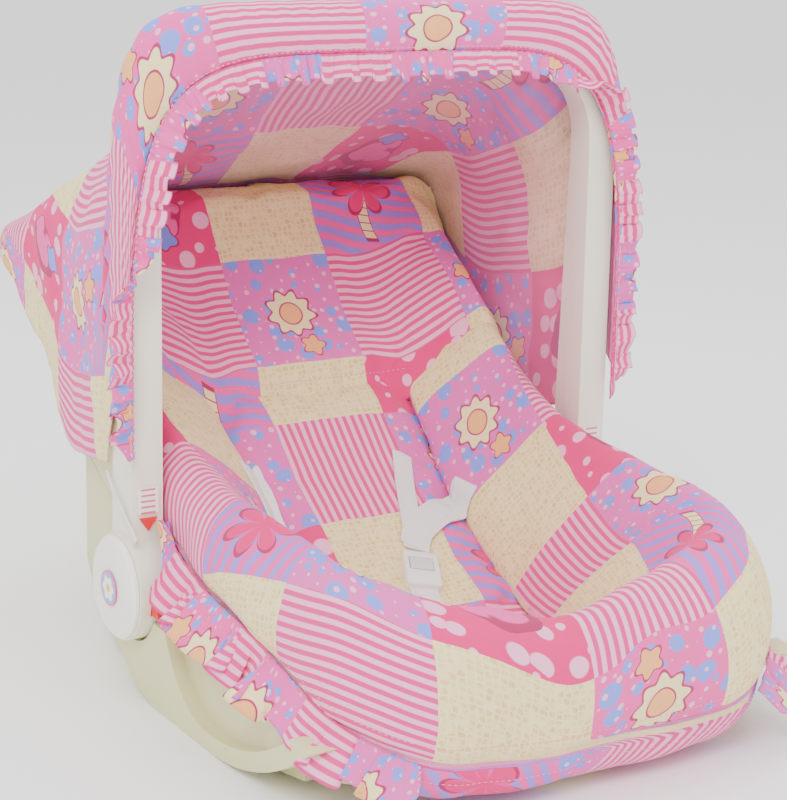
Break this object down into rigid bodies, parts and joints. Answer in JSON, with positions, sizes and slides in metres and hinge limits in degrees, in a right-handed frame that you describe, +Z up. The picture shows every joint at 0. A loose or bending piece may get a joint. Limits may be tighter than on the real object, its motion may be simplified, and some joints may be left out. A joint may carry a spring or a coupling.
{
  "type": "infant car seat",
  "caption": "Rocking infant carrier seat with a swing-back carry handle, padded patchwork liner, harness and a gathered sun hood.",
  "frame": {"origin": "bottom centre of the seat's box, on the surface it stands on", "axes": "+Z up, -Y towards the foot end, +Y towards the head end, +X the occupant's left-hand side seen from the front right"},
  "size_m": [0.452, 0.621, 0.493],
  "materials": {
    "shell": "cream moulded plastic, satin",
    "handle": "off-white moulded plastic, satin",
    "hub_cover": "off-white moulded plastic, gloss",
    "badge": "printed plastic",
    "red": "red moulded plastic",
    "label": "printed film",
    "nylon": "grey nylon",
    "steel": "zinc plated",
    "webbing": "woven white webbing",
    "buckle": "white moulded plastic",
    "buckle_button": "light grey moulded plastic",
    "hood_fabric": "printed cotton, pink patchwork",
    "frill_fabric": "printed cotton, gathered",
    "liner_fabric": "printed cotton over foam, pink patchwork"
  },
  "bodies": {
    "seat": {"seat_shell": "shell", "rocker_base": "shell", "left_front_base_screw": "steel", "right_front_base_screw": "steel", "left_rear_base_screw": "steel", "right_rear_base_screw": "steel", "left_rocker_rail": "shell", "left_pivot_bolt": "steel", "left_pivot_nut": "steel", "left_lock_disc": "nylon", "left_side_bolster": "liner_fabric", "left_side_frill": "frill_fabric", "left_hood_tape": "webbing", "left_buckle_tongue": "buckle", "left_waist_strap": "webbing", "left_waist_keeper": "steel", "right_rocker_rail": "shell", "right_pivot_bolt": "steel", "right_pivot_nut": "steel", "right_lock_disc": "nylon", "right_side_bolster": "liner_fabric", "right_side_frill": "frill_fabric", "right_hood_tape": "webbing", "right_buckle_tongue": "buckle", "right_waist_strap": "webbing", "right_waist_keeper": "steel", "seat_pad": "liner_fabric", "back_pad": "liner_fabric", "foot_bolster": "liner_fabric", "sun_hood": "hood_fabric", "crotch_strap": "webbing", "right_shoulder_strap": "webbing", "buckle_body": "buckle", "crotch_keeper": "steel"},
    "handle": {"carry_handle": "handle", "hood_frill": "frill_fabric", "left_hub_cover": "hub_cover", "left_hub_badge": "badge", "left_button_spring": "steel", "left_lock_pointer": "red", "left_arm_label": "label", "right_hub_cover": "hub_cover", "right_hub_badge": "badge", "right_button_spring": "steel", "right_lock_pointer": "red", "right_arm_label": "label"},
    "left_button": {"left_release_button": "red"},
    "right_button": {"right_release_button": "red"},
    "harness_button": {"buckle_button": "buckle_button"}
  },
  "joints": [
    {"name": "handle_tilt", "type": "hinge", "parent": "seat", "child": "handle", "pos_m": [0, 0.0065, 0.082], "axis": [-1, 0, 0], "range_deg": [0, 80], "deforming": ["sun_hood", "left_hood_tape", "right_hood_tape"]},
    {"name": "left_button_press", "type": "slide", "parent": "handle", "child": "left_button", "axis": [0, 1, 0], "range_m": [0, 0.006], "stiffness_N_per_m": 400, "springref_m": -0.004, "deforming": ["left_button_spring"]},
    {"name": "right_button_press", "type": "slide", "parent": "handle", "child": "right_button", "axis": [0, 1, 0], "range_m": [0, 0.006], "stiffness_N_per_m": 400, "springref_m": -0.004, "deforming": ["right_button_spring"]},
    {"name": "buckle_button_press", "type": "slide", "parent": "seat", "child": "harness_button", "axis": [0, 0.4831, -0.8756], "range_m": [0, 0.002], "stiffness_N_per_m": 400, "springref_m": -0.004}
  ]
}
